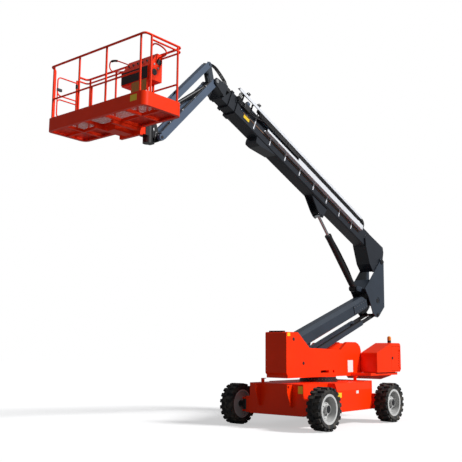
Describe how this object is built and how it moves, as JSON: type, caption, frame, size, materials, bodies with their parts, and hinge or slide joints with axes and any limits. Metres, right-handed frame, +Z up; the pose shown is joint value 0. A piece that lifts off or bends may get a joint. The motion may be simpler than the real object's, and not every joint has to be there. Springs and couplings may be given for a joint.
{
  "type": "boom lift",
  "caption": "Articulated boom lift with a telescopic riser, a telescopic main boom, a jib and a railed platform, on a four-wheel chassis.",
  "frame": {"origin": "on the ground under the centre of the whole machine's bounding box in the stored pose", "axes": "+X to the front of the chassis and the platform end, +Y to the machine's left, +Z up"},
  "size_m": [9.4878, 2.49, 7.1424],
  "materials": {
    "paint": "gloss",
    "boom_paint": "satin",
    "jib_paint": "satin",
    "deck_mesh": "satin",
    "black_paint": "satin",
    "rim_paint": "satin",
    "tyre_rubber": "matte",
    "rod_chrome": "polished",
    "galvanised": "satin",
    "black_plastic": "matte",
    "amber_plastic": "gloss"
  },
  "bodies": {
    "chassis": {"chassis_frame": "paint", "tie_down_lugs": "paint", "front_axle": "paint", "rear_axle": "paint", "slew_ring": "black_paint"},
    "steer_left": {"steer_knuckle_left": "black_paint"},
    "steer_right": {"steer_knuckle_right": "black_paint"},
    "wheel_front_left": {"tyre_front_left": "tyre_rubber", "rim_front_left": "rim_paint"},
    "wheel_front_right": {"tyre_front_right": "tyre_rubber", "rim_front_right": "rim_paint"},
    "wheel_rear_left": {"tyre_rear_left": "tyre_rubber", "rim_rear_left": "rim_paint"},
    "wheel_rear_right": {"tyre_rear_right": "tyre_rubber", "rim_rear_right": "rim_paint"},
    "turntable": {"turntable_frame": "paint", "turntable_covers": "paint", "front_cap": "black_plastic", "counterweight": "paint", "left_cabinet": "paint", "right_cabinet": "paint", "left_battery": "black_plastic", "right_battery": "black_plastic", "beacon": "amber_plastic"},
    "left_door": {"left_cabinet_door": "paint"},
    "right_door": {"right_cabinet_door": "paint"},
    "riser": {"riser_base": "boom_paint"},
    "riser_inner": {"riser_extension": "black_paint"},
    "link": {"link_base": "boom_paint", "riser_chain": "black_plastic"},
    "link_inner": {"link_extension": "black_paint"},
    "riser_barrel": {"riser_cylinder": "black_paint"},
    "riser_piston": {"riser_rod": "rod_chrome"},
    "upright": {"boom_upright": "boom_paint"},
    "boom": {"boom_base": "boom_paint", "cable_tray": "galvanised", "cable_chain": "black_plastic"},
    "boom_middle": {"boom_mid": "boom_paint"},
    "boom_tip": {"boom_fly": "boom_paint"},
    "boom_barrel": {"boom_cylinder": "black_paint"},
    "boom_piston": {"boom_rod": "rod_chrome"},
    "jib_bracket": {"jib_upright": "boom_paint"},
    "jib_lower": {"jib_lower_arm": "jib_paint"},
    "jib_upper": {"jib_upper_arm": "jib_paint"},
    "jib_barrel": {"jib_cylinder": "black_paint"},
    "jib_piston": {"jib_rod": "rod_chrome"},
    "jib_end": {"jib_head": "black_paint"},
    "platform": {"platform_rotator": "black_paint", "platform_support": "paint", "platform_base": "paint", "platform_deck": "deck_mesh", "platform_rails": "paint", "control_panel": "paint"},
    "gate": {"platform_gate": "paint"}
  },
  "joints": [
    {"name": "steer_left", "type": "hinge", "parent": "chassis", "child": "steer_left", "pos_m": [-0.4343, 0.86, 0.43], "axis": [0, 0, 1], "range_deg": [-32, 32]},
    {"name": "steer_right", "type": "hinge", "parent": "chassis", "child": "steer_right", "pos_m": [-0.4343, -0.86, 0.43], "axis": [0, 0, 1], "range_deg": [-32, 32]},
    {"name": "roll_front_left", "type": "hinge", "parent": "steer_left", "child": "wheel_front_left", "pos_m": [-0.4343, 1.095, 0.43], "axis": [0, 1, 0], "continuous": true},
    {"name": "roll_front_right", "type": "hinge", "parent": "steer_right", "child": "wheel_front_right", "pos_m": [-0.4343, -1.095, 0.43], "axis": [0, 1, 0], "continuous": true},
    {"name": "roll_rear_left", "type": "hinge", "parent": "chassis", "child": "wheel_rear_left", "pos_m": [-3.1243, 1.095, 0.43], "axis": [0, 1, 0], "continuous": true},
    {"name": "roll_rear_right", "type": "hinge", "parent": "chassis", "child": "wheel_rear_right", "pos_m": [-3.1243, -1.095, 0.43], "axis": [0, 1, 0], "continuous": true},
    {"name": "slew", "type": "hinge", "parent": "chassis", "child": "turntable", "pos_m": [-1.9243, 0, 1], "axis": [0, 0, 1], "continuous": true},
    {"name": "left_door_swing", "type": "hinge", "parent": "turntable", "child": "left_door", "pos_m": [-4.4323, 0.726, 1.39], "axis": [0, 0, 1], "range_deg": [0, 110]},
    {"name": "right_door_swing", "type": "hinge", "parent": "turntable", "child": "right_door", "pos_m": [-4.0373, -0.726, 1.3825], "axis": [0, 0, -1], "range_deg": [0, 110]},
    {"name": "riser_lift", "type": "hinge", "parent": "turntable", "child": "riser", "pos_m": [-0.5423, 0, 1.498], "axis": [0, 1, 0], "range_deg": [-11, 45]},
    {"name": "link_lift", "type": "hinge", "parent": "turntable", "child": "link", "pos_m": [-0.5223, 0, 1.153], "axis": [0, 1, 0], "range_deg": [-11, 45]},
    {"name": "riser_extend", "type": "slide", "parent": "riser", "child": "riser_inner", "axis": [-0.9455, 0, 0.3256], "range_m": [0, 1.5]},
    {"name": "link_extend", "type": "slide", "parent": "link", "child": "link_inner", "axis": [-0.9455, 0, 0.3256], "range_m": [0, 1.5]},
    {"name": "upright_level", "type": "hinge", "parent": "riser_inner", "child": "upright", "pos_m": [-4.32437, 0, 2.80027], "axis": [0, -1, 0], "range_deg": [-11, 45]},
    {"name": "riser_cylinder_swing", "type": "hinge", "parent": "turntable", "child": "riser_barrel", "pos_m": [-2.9243, 0, 1.14], "axis": [0, -1, 0], "range_deg": [-3.72, 15.08]},
    {"name": "riser_rod_slide", "type": "slide", "parent": "riser_barrel", "child": "riser_piston", "axis": [0.9538, 0, 0.3005], "range_m": [-0.1196, 0.4876]},
    {"name": "boom_lift", "type": "hinge", "parent": "upright", "child": "boom", "pos_m": [-4.56437, 0, 3.80027], "axis": [0, -1, 0], "range_deg": [-23.5, 47.5]},
    {"name": "boom_extend", "type": "slide", "parent": "boom", "child": "boom_middle", "axis": [0.9239, 0, 0.3827], "range_m": [0, 2.4]},
    {"name": "fly_extend", "type": "slide", "parent": "boom_middle", "child": "boom_tip", "axis": [0.9239, 0, 0.3827], "range_m": [0, 2.4]},
    {"name": "boom_cylinder_swing", "type": "hinge", "parent": "upright", "child": "boom_barrel", "pos_m": [-3.54437, 0, 3.06027], "axis": [0, -1, 0], "range_deg": [-22.92, 46.28]},
    {"name": "boom_rod_slide", "type": "slide", "parent": "boom_barrel", "child": "boom_piston", "axis": [0.7001, 0, 0.714], "range_m": [-0.4842, 0.9781]},
    {"name": "jib_level", "type": "hinge", "parent": "boom_tip", "child": "jib_bracket", "pos_m": [1.8354, 0, 6.73581], "axis": [0, 1, 0], "range_deg": [-23.5, 47.5]},
    {"name": "jib_lift", "type": "hinge", "parent": "jib_bracket", "child": "jib_lower", "pos_m": [1.8354, 0, 6.73581], "axis": [0, -1, 0], "range_deg": [-14.8, 105.2]},
    {"name": "jib_upper_lift", "type": "hinge", "parent": "jib_bracket", "child": "jib_upper", "pos_m": [1.9354, 0, 7.08081], "axis": [0, -1, 0], "range_deg": [-14.8, 105.2]},
    {"name": "jib_head_level", "type": "hinge", "parent": "jib_lower", "child": "jib_end", "pos_m": [3.27285, 0, 5.28829], "axis": [0, 1, 0], "range_deg": [-14.8, 105.2]},
    {"name": "jib_cylinder_swing", "type": "hinge", "parent": "jib_bracket", "child": "jib_barrel", "pos_m": [1.8354, 0, 6.73581], "axis": [0, -1, 0], "range_deg": [-14.05, 99.56]},
    {"name": "jib_rod_slide", "type": "slide", "parent": "jib_barrel", "child": "jib_piston", "axis": [0.8126, 0, -0.5828], "range_m": [-0.0768, 0.5429]},
    {"name": "platform_rotate", "type": "hinge", "parent": "jib_end", "child": "platform", "pos_m": [3.47585, 0, 5.18529], "axis": [0, 0, 1], "range_deg": [-90, 90]},
    {"name": "gate_swing", "type": "hinge", "parent": "platform", "child": "gate", "pos_m": [4.14435, -1.1902, 5.86029], "axis": [0, 0, 1], "range_deg": [0, 90]}
  ],
  "couplings": [
    {"joint": "steer_right", "follows": "steer_left", "ratio": 1},
    {"joint": "link_lift", "follows": "riser_lift", "ratio": 1},
    {"joint": "upright_level", "follows": "riser_lift", "ratio": 1},
    {"joint": "link_extend", "follows": "riser_extend", "ratio": 1},
    {"joint": "riser_cylinder_swing", "follows": "riser_lift", "ratio": 0.3339},
    {"joint": "riser_rod_slide", "follows": "riser_lift", "m_per_rad": 0.6202},
    {"joint": "fly_extend", "follows": "boom_extend", "ratio": 1},
    {"joint": "boom_cylinder_swing", "follows": "boom_lift", "ratio": 0.9732},
    {"joint": "boom_rod_slide", "follows": "boom_lift", "m_per_rad": 1.1792},
    {"joint": "jib_level", "follows": "boom_lift", "ratio": 1},
    {"joint": "jib_upper_lift", "follows": "jib_lift", "ratio": 1},
    {"joint": "jib_head_level", "follows": "jib_lift", "ratio": 1},
    {"joint": "jib_cylinder_swing", "follows": "jib_lift", "ratio": 0.9459},
    {"joint": "jib_rod_slide", "follows": "jib_lift", "m_per_rad": 0.2954}
  ]
}
